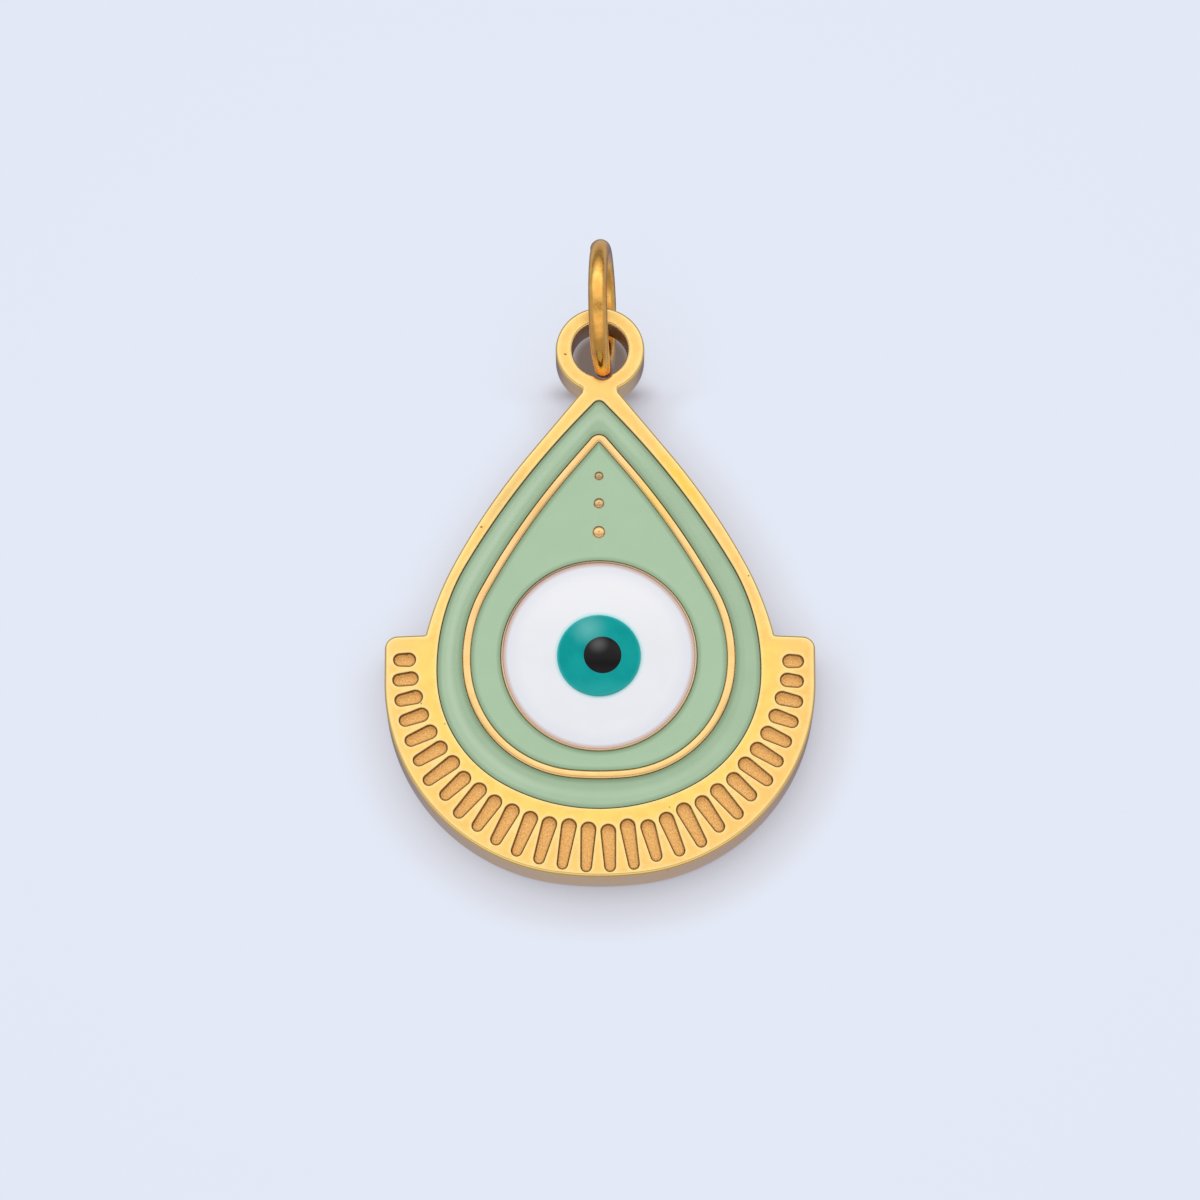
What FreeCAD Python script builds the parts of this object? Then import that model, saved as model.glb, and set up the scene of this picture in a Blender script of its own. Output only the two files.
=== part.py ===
"""Evil eye charm: a gold-plated casting with enamelled cells and one jump ring.

Millimetres. The charm stands upright in the XZ plane: +Z runs from the fan to the loop, the face
looks towards -Y, and the flat back lies in the plane Y = 0. The origin is the point of the back
that lies straight behind the middle of the eye.
"""
import FreeCAD, Part
import math
import os

from FreeCAD import Vector

# --- driving dimensions -------------------------------------------------------------------------
body_thickness = 2.0          # flat back to polished face
loop_thickness = 1.8          # the loop's back is set in from the flat back
cell_depth = 0.5              # enamel recesses, below the face
enamel_sink = 0.07            # enamel stops this far below the face
face_shift_x = -0.045         # the pattern sits a little left of the outline

# Teardrop outlines: height of the lowest point, then tangent arcs as (radius, turn in degrees)
# up the right-hand side, then a straight flank to a small round apex.
rim_bottom = -7.2             # outside of the gold rim
rim_arcs = ((8.13, 45.0), (6.1, 58.8), (13.8, 14.0), (30.0, 11.2))
rim_apex_radius = 0.75        # inside the neck
cell_bottom = -6.64           # outside of the enamel
cell_arcs = ((8.14, 30.0), (5.54, 57.0), (9.14, 33.0), (36.0, 13.0))
cell_apex_radius = 0.30
ridge_bottom = -5.18          # middle line of the ridge
ridge_arcs = ((12.8, 5.0), (4.9, 79.0), (6.25, 34.0), (32.0, 12.0))
ridge_apex_radius = 0.25
ridge_width = 0.38

# Fan flange round the lower half
fan_bottom = -9.57
fan_bottom_arc = (14.0, 7.3)  # flatter stretch at the very bottom
fan_side_radius = 8.38
fan_top = 0.85
fan_top_rise = 0.07           # the top edge climbs a little towards the rim
fan_corner_radius = 0.55

# Slots of the fan
slot_lengths = (0.95, 1.1, 1.2, 1.3, 1.45, 1.6, 1.8, 1.6, 1.85, 1.8,
                1.95, 2.05, 2.1, 2.2, 2.15, 2.05, 2.2, 1.85, 2.0, 2.1,
                1.8, 1.85, 1.55, 1.7, 1.55, 1.4, 1.3, 1.2, 1.0, 0.9)
slot_mid_radius = 8.10        # from the eye to the middle of a slot of no length
slot_mid_growth = 0.12        # longer slots sit further out by this share of their length
slot_reach = 9.38             # where the longest slots end
slot_first_angle = 181.4
slot_last_angle = 358.2
slot_crowding = 0.9           # degrees that the slots half-way up each side are moved upwards
slot_inner_width = 0.567      # of a slot of no length
slot_widening = 0.035         # extra inner width per unit of length
slot_outer_width = 0.63       # of a slot of no length
slot_narrowing = 0.075        # less outer width per unit of length
slot_depth = 0.25

# Loop
loop_centre_z = 13.52
loop_radius = 1.90
hole_centre_z = 13.54
hole_radius = 1.20
seat_radius = 0.46            # groove that the ring has its place in
seat_depth = 0.13
seat_shift_x = 0.10           # the groove and its ring sit a little right of the middle

# Eye
eye_wall_radius = 4.16
eye_wall_width = 0.12
iris_radius = 1.77
iris_height = 0.12
iris_edge_radius = 0.08
pupil_radius = 0.80
pupil_height = 0.20           # above the iris
pupil_edge_radius = 0.15
pupil_shift_x = 0.15

# Raised dots: height up the face, diameter
dots = ((7.90, 0.34), (6.69, 0.41), (5.42, 0.49))

# Jump ring
ring_outer_diameter = 6.0
wire_diameter = 0.8
wire_gap = 0.04               # butt cut
ring_centre_y = -2.205
ring_centre_z = 15.27
ring_twist = -4.5             # degrees about the vertical
cut_angle = 62.0              # where the cut lies, from the front of the ring over its top

# Edge rounding
outline_front_radius = 0.14
outline_back_radius = 0.12
cell_edge_radius = 0.05
slot_edge_radius = 0.04
slot_floor_radius = 0.09
hole_edge_radius = 0.10
neck_corner_radius = 0.12
fan_root_radius = 0.12

face_y = -body_thickness
enamel_y = face_y + enamel_sink
back = Vector(0, 1, 0)


# --- outlines -----------------------------------------------------------------------------------
def run_arcs(start, arcs):
    """Edges of tangent arcs from a start point heading +X, and the end point and heading."""
    edges = []
    x, z = start
    heading = 0.0
    for radius, degrees in arcs:
        turn = math.radians(degrees)
        cx = x - radius * math.sin(heading)
        cz = z + radius * math.cos(heading)
        points = [(x, z)]
        for part_turn in (turn / 2, turn):
            points.append((cx + radius * math.sin(heading + part_turn),
                           cz - radius * math.cos(heading + part_turn)))
        edges.append(("arc", points))
        x, z = points[-1]
        heading += turn
    return edges, (x, z), heading


def teardrop_half(bottom, arcs, apex_radius, offset=0.0):
    """Right half of a teardrop, moved outwards by offset, from its lowest point to its apex."""
    moved = [(radius + offset, degrees) for radius, degrees in arcs]
    edges, (x, z), heading = run_arcs((0.0, bottom - offset), moved)
    radius = apex_radius
    flank = (x - radius * math.sin(heading)) / -math.cos(heading)
    end = (x + flank * math.cos(heading), z + flank * math.sin(heading))
    edges.append(("line", [(x, z), end]))
    cx = end[0] - radius * math.sin(heading)
    cz = end[1] + radius * math.cos(heading)
    points = [end]
    for turned in ((heading + math.pi) / 2, math.pi):
        points.append((cx + radius * math.sin(turned), cz - radius * math.cos(turned)))
    points[-1] = (0.0, points[-1][1])
    edges.append(("arc", points))
    return edges


def wire_of(half, y, shift=0.0):
    """Closed wire at depth y from the right half of an outline and its mirror image."""
    mirrored = []
    for kind, points in reversed(half):
        mirrored.append((kind, [(-x, z) for x, z in reversed(points)]))
    edges = []
    for kind, points in half + mirrored:
        ends = [Vector(x + shift, y, z) for x, z in points]
        if kind == "arc":
            edges.append(Part.Arc(*ends).toShape())
        else:
            edges.append(Part.LineSegment(*ends).toShape())
    return Part.Wire(edges)


def prism(wire, depth):
    """Solid from a flat wire, carried backwards by depth."""
    return Part.Face(wire).extrude(back * depth)


def disc(radius, x, z, y, depth):
    return Part.makeCylinder(radius, depth, Vector(x, y, z), back)


def fan_half():
    """Right half of the fan's outline, from its lowest point to the middle of the charm."""
    side = (fan_side_radius, 90.0 - fan_bottom_arc[1])
    edges, (x, z), _ = run_arcs((0.0, fan_bottom), (fan_bottom_arc, side))
    corner = fan_corner_radius
    turn = math.sqrt(0.5)
    edges.append(("line", [(x, z), (x, fan_top - corner)]))
    edges.append(("arc", [(x, fan_top - corner),
                          (x - corner * (1 - turn), fan_top - corner * (1 - turn)),
                          (x - corner, fan_top)]))
    edges.append(("line", [(x - corner, fan_top), (0.0, fan_top + fan_top_rise * 5)]))
    return edges


# --- helpers for edges --------------------------------------------------------------------------
def flat_edges(shape, y, test):
    """Edges that lie wholly in the plane at depth y and whose middle passes the test."""
    found = []
    for edge in shape.Edges:
        box = edge.BoundBox
        if abs(box.YMin - y) > 1e-4 or abs(box.YMax - y) > 1e-4:
            continue
        middle = edge.valueAt((edge.FirstParameter + edge.LastParameter) / 2)
        if test(middle):
            found.append(edge)
    return found


def upright_edges(shape, test):
    """Straight edges that run from the face to the back."""
    found = []
    for edge in shape.Edges:
        box = edge.BoundBox
        if box.XLength < 1e-4 and box.ZLength < 1e-4 and box.YLength > 1.0:
            if test(box.Center):
                found.append(edge)
    return found


def rounded(shape, radius, edges):
    if not edges:
        raise RuntimeError("no edges to round")
    return shape.makeFillet(radius, edges)


# --- the casting --------------------------------------------------------------------------------
def slot_tool(index, length):
    """One tapered slot with round ends, as a cutter with a rounded floor."""
    share = index / (len(slot_lengths) - 1)
    even = slot_first_angle + share * (slot_last_angle - slot_first_angle)
    angle = math.radians(even - slot_crowding * math.sin(2 * math.pi * share))
    middle = min(slot_mid_radius + slot_mid_growth * length, slot_reach - length / 2)
    inner = (slot_inner_width + slot_widening * length) / 2
    outer = (slot_outer_width - slot_narrowing * length) / 2
    a = -length / 2 + inner
    b = length / 2 - outer
    lean = math.asin((inner - outer) / (b - a))
    sin, cos = math.sin(lean), math.cos(lean)
    local = [("line", [(a + inner * sin, inner * cos), (b + outer * sin, outer * cos)]),
             ("arc", [(b + outer * sin, outer * cos), (b + outer, 0), (b + outer * sin, -outer * cos)]),
             ("line", [(b + outer * sin, -outer * cos), (a + inner * sin, -inner * cos)]),
             ("arc", [(a + inner * sin, -inner * cos), (a - inner, 0), (a + inner * sin, inner * cos)])]
    edges = []
    for kind, points in local:
        ends = []
        for along, across in points:
            r = middle + along
            ends.append(Vector(face_shift_x + r * math.cos(angle) - across * math.sin(angle),
                               face_y - slot_depth,
                               r * math.sin(angle) + across * math.cos(angle)))
        edges.append(Part.Arc(*ends).toShape() if kind == "arc" else Part.LineSegment(*ends).toShape())
    tool = prism(Part.Wire(edges), 2 * slot_depth)
    floor = flat_edges(tool, face_y + slot_depth, lambda point: True)
    return rounded(tool, slot_floor_radius, floor)


def in_fan_ring(point):
    """True between the enamel and the outline of the fan, where the slots are."""
    r = math.hypot(point.x - face_shift_x, point.z)
    return point.z < 1.0 and 7.2 < r < 9.38


def in_cell_edge(point):
    """True close to the eye side of the gold rim."""
    return math.hypot(point.x, point.z) < 7.0 or (point.z > 1.5 and abs(point.x) < 7.0 and point.z < 11.4)


def in_hole(point):
    return math.hypot(point.x, point.z - hole_centre_z) < hole_radius + 0.2


def casting_blank():
    """Rim, fan and loop as one plain slab with rounded outline and the loop's hole."""
    rim = prism(wire_of(teardrop_half(rim_bottom, rim_arcs, rim_apex_radius), face_y), body_thickness)
    fan = prism(wire_of(fan_half(), face_y), body_thickness)
    loop = disc(loop_radius, 0, loop_centre_z, face_y, loop_thickness)
    slab = rim.fuse([fan, loop]).removeSplitter()
    slab = rounded(slab, neck_corner_radius,
                   upright_edges(slab, lambda p: 0.6 < abs(p.x) < 1.5 and p.z > 10))
    slab = rounded(slab, fan_root_radius,
                   upright_edges(slab, lambda p: 7.0 < abs(p.x) < 7.8 and abs(p.z - fan_top) < 0.5))
    slab = rounded(slab, outline_front_radius, flat_edges(slab, face_y, lambda p: True))
    slab = rounded(slab, outline_back_radius, flat_edges(slab, 0, lambda p: True))
    hole = disc(hole_radius, 0, hole_centre_z, face_y - 1, body_thickness + 2)
    seat_z = hole_centre_z - hole_radius - seat_depth + seat_radius
    seat = disc(seat_radius, seat_shift_x, seat_z, face_y - 1, body_thickness + 2)
    slab = slab.cut(hole.fuse(seat).removeSplitter())
    return rounded(slab, hole_edge_radius, flat_edges(slab, face_y, in_hole))


def ridge_solid():
    """The raised line between the two green fields, with a rounded top."""
    half = ridge_width / 2
    sides = []
    for offset in (half, -half):
        outline = teardrop_half(ridge_bottom, ridge_arcs, ridge_apex_radius + offset, offset)
        sides.append(wire_of(outline, face_y, face_shift_x))
    outer, inner = sides
    line = prism(outer, cell_depth).cut(prism(inner, cell_depth))
    return rounded(line, half - 0.02, flat_edges(line, face_y, lambda p: True))


def eye_wall():
    outer = disc(eye_wall_radius, face_shift_x, 0, face_y, cell_depth)
    wall = outer.cut(disc(eye_wall_radius - eye_wall_width, face_shift_x, 0, face_y, cell_depth))
    return rounded(wall, eye_wall_width / 2 - 0.015, flat_edges(wall, face_y, lambda p: True))


def dot_solid(height_z, diameter):
    post = disc(diameter / 2, face_shift_x, height_z, face_y, cell_depth)
    return rounded(post, diameter / 2 - 0.03, flat_edges(post, face_y, lambda p: True))


def make_casting():
    slab = casting_blank()
    cell = wire_of(teardrop_half(cell_bottom, cell_arcs, cell_apex_radius), face_y - 1, face_shift_x)
    slab = slab.cut(prism(cell, 1 + cell_depth))
    slab = rounded(slab, cell_edge_radius, flat_edges(slab, face_y, in_cell_edge))
    tools = [slot_tool(index, length) for index, length in enumerate(slot_lengths)]
    slab = slab.cut(tools)
    slab = rounded(slab, slot_edge_radius, flat_edges(slab, face_y, in_fan_ring))
    raised = [ridge_solid(), eye_wall()] + [dot_solid(*dot) for dot in dots]
    return slab.fuse(raised).removeSplitter()


# --- enamel -------------------------------------------------------------------------------------
def make_enamels(casting):
    """The three flat enamel fields, filled up against the metal round them."""
    depth = cell_depth - enamel_sink
    cell = prism(wire_of(teardrop_half(cell_bottom, cell_arcs, cell_apex_radius), enamel_y, face_shift_x),
                 depth)
    divide = prism(wire_of(teardrop_half(ridge_bottom, ridge_arcs, ridge_apex_radius), enamel_y,
                           face_shift_x), depth)
    middle = eye_wall_radius - eye_wall_width / 2
    eye = disc(middle, face_shift_x, 0, enamel_y, depth)
    outer = cell.cut(divide).cut(casting)
    inner = divide.cut(eye).cut(casting)
    white = eye.cut(casting)
    return outer, inner, white


def enamel_pad(radius, height, edge_radius, x, base):
    """A round pad of enamel with a soft edge, standing on the depth named base."""
    top = base - height
    pad = disc(radius, x, 0, top, height)
    return rounded(pad, edge_radius, flat_edges(pad, top, lambda p: True))


def make_iris():
    return enamel_pad(iris_radius, iris_height, iris_edge_radius, face_shift_x, enamel_y)


def make_pupil():
    x, base = face_shift_x + pupil_shift_x, enamel_y - iris_height
    return enamel_pad(pupil_radius, pupil_height, pupil_edge_radius, x, base)


# --- jump ring ----------------------------------------------------------------------------------
def make_ring():
    """A round wire bent to a circle in the YZ plane, with its butt cut, then twisted and placed."""
    mean = (ring_outer_diameter - wire_diameter) / 2
    gap = math.degrees(wire_gap / mean)
    section = Part.Face(Part.Wire(Part.makeCircle(wire_diameter / 2, Vector(0, -mean, 0), Vector(0, 0, 1))))
    ring = section.revolve(Vector(0, 0, 0), Vector(1, 0, 0), 360.0 - gap)
    ring.rotate(Vector(0, 0, 0), Vector(1, 0, 0), -cut_angle)
    ring.rotate(Vector(0, 0, 0), Vector(0, 0, 1), ring_twist)
    ring.translate(Vector(seat_shift_x, ring_centre_y, ring_centre_z))
    return ring


def main():
    casting = make_casting()
    outer, inner, white = make_enamels(casting)
    nodes = {"charm_body": casting, "outer_enamel": outer, "inner_enamel": inner, "eye_white": white,
             "iris": make_iris(), "pupil": make_pupil(), "jump_ring": make_ring()}
    os.makedirs("parts", exist_ok=True)
    for name, shape in nodes.items():
        solids = shape.Solids
        print(name, "solids", len(solids), "valid", shape.isValid(), "volume %.3f" % shape.Volume,
              "faces", len(shape.Faces))
        if len(solids) == 1:
            shape = solids[0]
        shape.exportStep("parts/" + name + ".step")


main()
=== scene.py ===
"""Evil eye charm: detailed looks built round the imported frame.

The charm stands upright in the XZ plane. Its face looks towards -Y, and its flat back lies in
the plane Y = 0. Sizes are in millimetres until a mesh or a lamp is made.
"""
import math

import bpy
import numpy as np
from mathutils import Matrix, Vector, noise
from mathutils.geometry import delaunay_2d_cdt


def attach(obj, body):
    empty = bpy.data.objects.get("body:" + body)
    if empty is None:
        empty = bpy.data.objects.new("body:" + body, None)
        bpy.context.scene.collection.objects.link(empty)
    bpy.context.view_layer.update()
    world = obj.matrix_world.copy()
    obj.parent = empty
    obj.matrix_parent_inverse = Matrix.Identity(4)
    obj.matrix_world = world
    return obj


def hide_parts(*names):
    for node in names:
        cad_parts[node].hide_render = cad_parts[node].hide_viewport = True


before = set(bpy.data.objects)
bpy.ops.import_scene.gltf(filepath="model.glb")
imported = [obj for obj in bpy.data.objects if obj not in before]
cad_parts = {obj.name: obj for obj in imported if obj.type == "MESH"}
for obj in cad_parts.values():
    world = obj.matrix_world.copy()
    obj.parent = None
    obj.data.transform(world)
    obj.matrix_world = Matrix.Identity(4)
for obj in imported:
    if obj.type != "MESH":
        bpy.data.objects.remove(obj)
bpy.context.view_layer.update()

MM = 0.001

# --- sizes of the charm ---
FACE_Y = -2.0                  # polished face
LOOP_BACK_Y = -0.2
ENAMEL_Y = -1.93
GROOVE_Y = -1.78               # bottom of the thin gap between enamel and metal
PATTERN_X = -0.045             # the pattern sits a little left of the outline

# Teardrops: lowest point, tangent arcs as (radius, degrees), radius of the tip
RIM = (-7.2, ((8.13, 45), (6.1, 58.8), (13.8, 14), (30.0, 11.2)), 0.75)
CELL = (-6.64, ((8.14, 30), (5.54, 57), (9.14, 33), (36.0, 13)), 0.30)
RIDGE = (-5.18, ((12.8, 5), (4.9, 79), (6.25, 34), (32.0, 12)), 0.25)

FAN_BOTTOM = -9.57
FAN_ARCS = ((14.0, 7.3), (8.38, 82.7))
FAN_TOP = 0.85
FAN_TOP_MIDDLE = 1.2           # height the fan's top edge would reach over the eye
FAN_CORNER = 0.55
FAN_ROOT = 0.12                # rounding between fan and rim
NECK_CORNER = 0.12             # rounding between rim and loop

LOOP_Z, LOOP_RADIUS = 13.52, 1.90
HOLE_Z, HOLE_RADIUS = 13.54, 1.20
SEAT_RADIUS, SEAT_DEPTH = 0.46, 0.13
SEAT_X = 0.10                  # the seat and its ring sit a little right of the middle

SLOT_LENGTHS = (0.95, 1.1, 1.2, 1.3, 1.45, 1.6, 1.8, 1.6, 1.85, 1.8,
                1.95, 2.05, 2.1, 2.2, 2.15, 2.05, 2.2, 1.85, 2.0, 2.1,
                1.8, 1.85, 1.55, 1.7, 1.55, 1.4, 1.3, 1.2, 1.0, 0.9)
SLOT_ANGLES = (181.4, 358.2)
SLOT_CROWDING = 0.9            # degrees that the slots half-way up each side are moved upwards
SLOT_MIDDLE, SLOT_MIDDLE_GROWTH, SLOT_REACH = 8.10, 0.12, 9.38
SLOT_INNER_WIDTH, SLOT_WIDENING = 0.567, 0.035      # the second is the change with length
SLOT_OUTER_WIDTH, SLOT_NARROWING = 0.63, 0.075
SLOT_DEPTH, SLOT_FLOOR_RADIUS = 0.25, 0.09

EYE_RADIUS, EYE_WALL = 4.10, 0.060          # middle and half width of the thin wall
IRIS_RADIUS, IRIS_HEIGHT = 1.77, 0.12
PUPIL_RADIUS, PUPIL_HEIGHT, PUPIL_X = 0.80, 0.20, 0.15
EYE_WALL_Y = (ENAMEL_Y + 0.05, FACE_Y + 0.01)       # base and top
DOTS = ((7.90, 0.34, 0.60), (6.69, 0.41, 0.42), (5.42, 0.49, 0.12))  # height, diameter, film
DOT_Y = (ENAMEL_Y + 0.03, FACE_Y + 0.005)
DOT_SKIRT_WIDTH, DOT_SKIRT_RISE = 0.035, 0.012      # metal that shows through the enamel
RIDGE_HALF, RIDGE_Y = 0.175, (-1.88, -1.995)

RING_MEAN, WIRE_RADIUS, WIRE_GAP = 2.6, 0.4, 0.04
RING_CENTRE = (SEAT_X, -2.205, 15.27)
RING_TWIST, RING_CUT = -4.5, 62.0

FRONT_EDGE, BACK_EDGE, HOLE_EDGE = 0.14, 0.12, 0.10
CELL_EDGE, SLOT_EDGE, LOOP_BACK_EDGE = 0.05, 0.04, 0.06
ENAMEL_GAP = 0.03              # dark gap between enamel and metal
RIDGE_TAPER = 0.012            # how much narrower each side of the ridge is above its foot
EYE_GAP, WHITE_UNDER = 0.012, 0.010         # green outside the eye's wall, white under it
WALL_Y = -1.0                  # where the outer wall's front part meets its back parts

# Distances between points
ARC_STEP = 0.02                # on the fine outlines that the others are taken from
SPACING = 0.05                 # along an outline
SLOT_SPACING, SLOT_FLOOR_SPACING = 0.045, 0.055
FACE_SPACING, BACK_SPACING = 0.14, 0.6

# --- stage ---
FIELD_WIDTH = 50.7             # width of the framed field at the charm
LENS, SENSOR = 180.0, 36.0
CAMERA_ELEVATION = -15.0
CAMERA_RISE = 2.33             # the frame's middle above the eye
PAPER = (0.752, 0.799, 0.905)  # pale lavender blue
CARD_Y = (0.12, 3.3)           # depth of the paper below and above its bend
CARD_BEND = (11.3, 13.9)
CARD_HALF = 70.0
CARD_FADE = (18, 60)           # from the middle, where the paper turns clear
LIGHT_FROM = (-0.15, -0.94, 0.31)           # soft light on the paper
SHADOW_REACH = (2.6, 5.5)      # how far away the charm still darkens it, at the two depths
# Painted shadows on the paper: x, z, radius of the dark middle, radius of the whole, light left in
# it.
# They lie behind the loop's hole, behind the loop, and in the two corners at the neck.
PAINTED_CARD_SHADOWS = ((0.05, HOLE_Z + 1.1, 0.85, 2.15, 0.03), (0, 13.1, 0.4, 1.7, 0.25),
              (-1.35, 12.80, 0.1, 1.5, 0.52), (1.35, 12.80, 0.1, 1.6, 0.52))
# Colour of the paper by the share of light that reaches it
CARD_COLOURS = ((0.0, (0.18, 0.135, 0.115)), (0.25, (0.34, 0.305, 0.315)),
                (0.45, (0.54, 0.535, 0.59)), (0.65, (0.655, 0.658, 0.725)),
                (0.80, (0.718, 0.735, 0.810)), (0.92, (0.755, 0.796, 0.895)),
                (1.0, (0.77, 0.818, 0.925)))

KEY_PLACE, KEY_AIM = (-80, -230, 248), (0, 0, 3)
KEY_SIZE, KEY_WATTS = (300, 190), 0.298
KEY_COLOUR = (0.905, 0.95, 1.0)

# Studio: angle round the X axis (0 in front, 90 overhead, 180 behind) and brightness
STUDIO = ((-180, 0.36), (-165, 0.42), (-145, 0.56), (-125, 0.42), (-100, 0.36), (-75, 0.42),
          (-55, 0.78), (-40, 0.98), (-24, 0.84), (-16, 0.42), (-10, 0.38), (-2, 0.82),
          (12, 1.02), (22, 1.08), (34, 1.18), (48, 1.34), (64, 0.72), (82, 0.26),
          (94, 0.26), (110, 0.56), (130, 0.54), (148, 0.30), (165, 0.20), (180, 0.36))
PLAIN = (1.0, 0.985, 0.97)
WARM, WARM_ANGLES = (1.0, 0.83, 0.70), (-24, -10)
COOL, COOL_FROM = (0.96, 0.98, 1.42), 165   # on either side of the back
STUDIO_SIDES = (0.50, 0.50, 0.52)           # colour near both ends of the X axis


# --- outlines ---
def along_arcs(start, arcs, heading=0.0):
    """Points of tangent arcs after a start point, and the heading at their end."""
    points = [start]
    for radius, degrees in arcs:
        x, z = points[-1]
        turn = math.radians(degrees)
        cx, cz = x - radius * math.sin(heading), z + radius * math.cos(heading)
        count = max(8, math.ceil(abs(radius * turn) / ARC_STEP))
        for angle in np.linspace(heading, heading + turn, count + 1)[1:]:
            points.append((cx + radius * math.sin(angle), cz - radius * math.cos(angle)))
        heading += turn
    return points, heading


def straight(start, end):
    count = max(1, math.ceil(math.dist(start, end) / ARC_STEP))
    return [tuple(p) for p in np.linspace(start, end, count + 1)[1:]]


def teardrop_right(bottom, arcs, tip_radius):
    """Right half of a teardrop, from its lowest point to its tip."""
    points, heading = along_arcs((0.0, bottom), arcs)
    x, z = points[-1]
    flank = (x - tip_radius * math.sin(heading)) / -math.cos(heading)
    end = (x + flank * math.cos(heading), z + flank * math.sin(heading))
    tip, _ = along_arcs(end, [(tip_radius, 180 - math.degrees(heading))], heading)
    return np.array(points + straight((x, z), end) + tip[1:])


def fan_right():
    """Right half of the fan's outline, from its lowest point over its corner to the middle."""
    points, _ = along_arcs((0.0, FAN_BOTTOM), FAN_ARCS)
    x = points[-1][0]
    points += straight(points[-1], (x, FAN_TOP - FAN_CORNER))
    corner, _ = along_arcs(points[-1], [(FAN_CORNER, 90)], math.pi / 2)
    points += corner[1:]
    return np.array(points + straight(points[-1], (0.0, FAN_TOP_MIDDLE)))


def loop_right():
    points, _ = along_arcs((0.0, LOOP_Z - LOOP_RADIUS), [(LOOP_RADIUS, 180)])
    return np.array(points)


def outward(points, closed=True):
    """Unit normals on the right-hand side of the way along the points."""
    if closed:
        way = np.roll(points, -1, 0) - np.roll(points, 1, 0)
    else:
        way = np.gradient(points, axis=0)
    normals = np.column_stack((way[:, 1], -way[:, 0]))
    return normals / np.linalg.norm(normals, axis=1)[:, None]


def joined(first, second, radius):
    """First outline up to a rounded inner corner, the corner, and the rest of the second one."""
    centres = first + outward(first, closed=False) * radius
    for i, centre in enumerate(centres):
        gaps = np.linalg.norm(second - centre, axis=1)
        if gaps.min() < radius:
            break
    j = gaps.argmin()
    start = math.atan2(*(first[i] - centre)[::-1])
    end = math.atan2(*(second[j] - centre)[::-1])
    turn = (end - start + math.pi) % (2 * math.pi) - math.pi
    angles = start + np.linspace(0, turn, 12)[1:-1]
    return first[:i + 1], centre + round_points(radius, angles), second[j:]


def resampled(points, spacing=SPACING):
    """Evenly spaced points on the same line, with both of its ends."""
    run = np.concatenate(([0], np.cumsum(np.linalg.norm(np.diff(points, axis=0), axis=1))))
    places = np.linspace(0, run[-1], max(2, round(run[-1] / spacing)) + 1)
    return np.column_stack([np.interp(places, run, points[:, k]) for k in (0, 1)])


def mirrored(right, shift=0.0):
    """Closed outline from its right half: anticlockwise from the lowest point, moved sideways."""
    left = right[-2:0:-1] * (-1, 1)
    return np.concatenate((right, left)) + (shift, 0)


def full_turn(count):
    return np.arange(count) * 2 * math.pi / count


def round_points(radius, angles):
    return np.stack((radius * np.cos(angles), radius * np.sin(angles)), -1)


def upright(flat, depth):
    """Points (x, depth, z) from flat points (x, z)."""
    return np.stack((flat[..., 0], np.broadcast_to(depth, flat.shape[:-1]), flat[..., 1]), -1)


def circle(radius, x, z=0.0, count=None):
    count = count or max(24, round(2 * math.pi * radius / SPACING))
    return round_points(radius, full_turn(count)) + (x, z)


def hole_outline():
    """The loop's hole with the shallow seat that the ring rests in."""
    seat_rise = -HOLE_RADIUS - SEAT_DEPTH + SEAT_RADIUS
    angles = full_turn(160)
    along = np.cos(angles) * SEAT_X + np.sin(angles) * seat_rise
    inside = SEAT_RADIUS ** 2 - (SEAT_X ** 2 + seat_rise ** 2 - along ** 2)
    reach = along + np.sqrt(np.maximum(inside, 0))
    radius = np.maximum(HOLE_RADIUS, np.where(inside > 0, reach, 0))
    return round_points(radius, angles) + (0, HOLE_Z)


class Slot:
    """One slot of the fan: a wide round inner end, a narrow round outer end, straight sides."""

    def __init__(self, index, length):
        share = index / (len(SLOT_LENGTHS) - 1)
        even = SLOT_ANGLES[0] + share * (SLOT_ANGLES[1] - SLOT_ANGLES[0])
        angle = math.radians(even - SLOT_CROWDING * math.sin(2 * math.pi * share))
        self.way = np.array((math.cos(angle), math.sin(angle)))
        self.side = np.array((-math.sin(angle), math.cos(angle)))
        self.inner = (SLOT_INNER_WIDTH + SLOT_WIDENING * length) / 2
        self.outer = (SLOT_OUTER_WIDTH - SLOT_NARROWING * length) / 2
        self.span = length - self.inner - self.outer
        middle = min(SLOT_MIDDLE + SLOT_MIDDLE_GROWTH * length, SLOT_REACH - length / 2)
        start = middle - length / 2 + self.inner
        self.middle = np.array((PATTERN_X, 0)) + self.way * start
        self.lean = math.asin((self.inner - self.outer) / self.span)

    def outline(self):
        quarter = math.pi / 2
        outer = np.linspace(-quarter + self.lean, quarter - self.lean, 14)
        inner = np.linspace(quarter - self.lean, 3 * quarter + self.lean, 16)
        points = []
        for radius, start, angles in ((self.outer, self.span, outer), (self.inner, 0.0, inner)):
            points += [(start + radius * math.cos(a), radius * math.sin(a)) for a in angles]
        local = resampled(np.array(points + points[:1]), SLOT_SPACING)[:-1]
        return self.middle + local[:, :1] * self.way + local[:, 1:] * self.side

    def depth_inside(self, points):
        """Distance of each point from the slot's edge, positive inside."""
        away = points - self.middle
        along, across = away @ self.way, np.abs(away @ self.side)
        sin, cos = math.sin(self.lean), math.cos(self.lean)
        reach = cos * along - sin * across
        flank = cos * across + sin * along - self.inner
        ends = np.where(reach < 0, np.hypot(along, across) - self.inner,
                        np.hypot(along - self.span, across) - self.outer)
        return -np.where((reach >= 0) & (reach <= cos * self.span), flank, ends)


# --- meshes ---
def add_object(name, data):
    made = bpy.data.objects.new(name, data)
    bpy.context.scene.collection.objects.link(made)
    return made


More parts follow.
